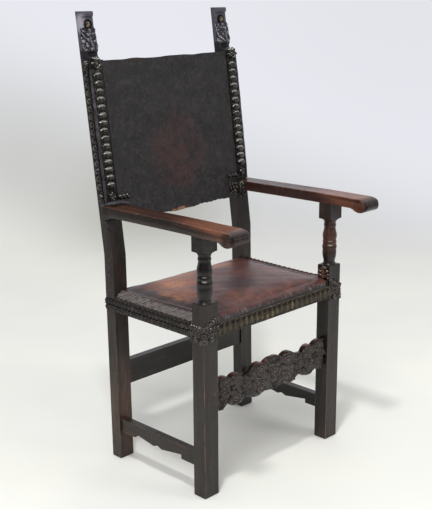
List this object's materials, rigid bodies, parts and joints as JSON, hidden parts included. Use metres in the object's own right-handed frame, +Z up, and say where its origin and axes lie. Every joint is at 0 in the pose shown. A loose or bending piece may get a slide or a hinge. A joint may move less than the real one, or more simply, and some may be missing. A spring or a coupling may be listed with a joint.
{
  "type": "wainscot chair",
  "caption": "Tall-backed open-arm wooden armchair with turned arm posts, carved front stretcher, finials, and leather seat and back edged with embossed metal trim.",
  "frame": {"origin": "on the floor, under the middle of the outline of the chair seen from above", "axes": "+Z up, -Y the way the chair faces, +X towards the sitter's left"},
  "size_m": [0.5956, 0.5946, 1.253],
  "materials": {
    "dark_walnut": "dark stained walnut, waxed and worn at the edges",
    "arm_walnut": "reddish brown walnut, hand-polished and worn",
    "peg_oak": "stained oak end grain",
    "seat_leather": "worn reddish brown leather, pleated at the edges",
    "back_leather": "near-black leather, rubbed dark red in the middle",
    "trim_brass": "blackened embossed sheet brass with rubbed highlights",
    "nail_brass": "aged brass nail heads",
    "iron_tack": "dull iron tacks",
    "linen_webbing": "coarse woven linen webbing",
    "base_linen": "unbleached linen cloth",
    "stuffing": "horsehair and tow stuffing"
  },
  "bodies": {
    "root": {"arm_left": "arm_walnut", "arm_pegs": "peg_oak", "arm_right": "arm_walnut", "arm_rosettes": "nail_brass", "back_edge_trim_left": "trim_brass", "back_edge_trim_right": "trim_brass", "back_foot_trim_left": "trim_brass", "back_foot_trim_right": "trim_brass", "back_leather": "back_leather", "back_rivets": "nail_brass", "back_stretcher": "dark_walnut", "back_trim_left": "trim_brass", "back_trim_right": "trim_brass", "corner_rosettes": "trim_brass", "finial_nails": "nail_brass", "front_post_left": "dark_walnut", "front_post_right": "dark_walnut", "front_rail": "dark_walnut", "front_stretcher": "dark_walnut", "leaf_plate_left": "trim_brass", "leaf_plate_right": "trim_brass", "leg_nails": "nail_brass", "post_nails": "nail_brass", "post_tacks": "iron_tack", "rail_pegs": "peg_oak", "rear_post_left": "dark_walnut", "rear_post_right": "dark_walnut", "rear_rail": "dark_walnut", "seat_back_nails": "nail_brass", "seat_base_cloth": "base_linen", "seat_leather": "seat_leather", "seat_stuffing": "stuffing", "seat_trim_front": "trim_brass", "seat_trim_left": "trim_brass", "seat_trim_right": "trim_brass", "seat_webbing_cross": "linen_webbing", "seat_webbing_long": "linen_webbing", "side_rail_left": "dark_walnut", "side_rail_right": "dark_walnut", "side_stretcher_left": "dark_walnut", "side_stretcher_right": "dark_walnut", "stretcher_pegs": "peg_oak"}
  },
  "joints": []
}
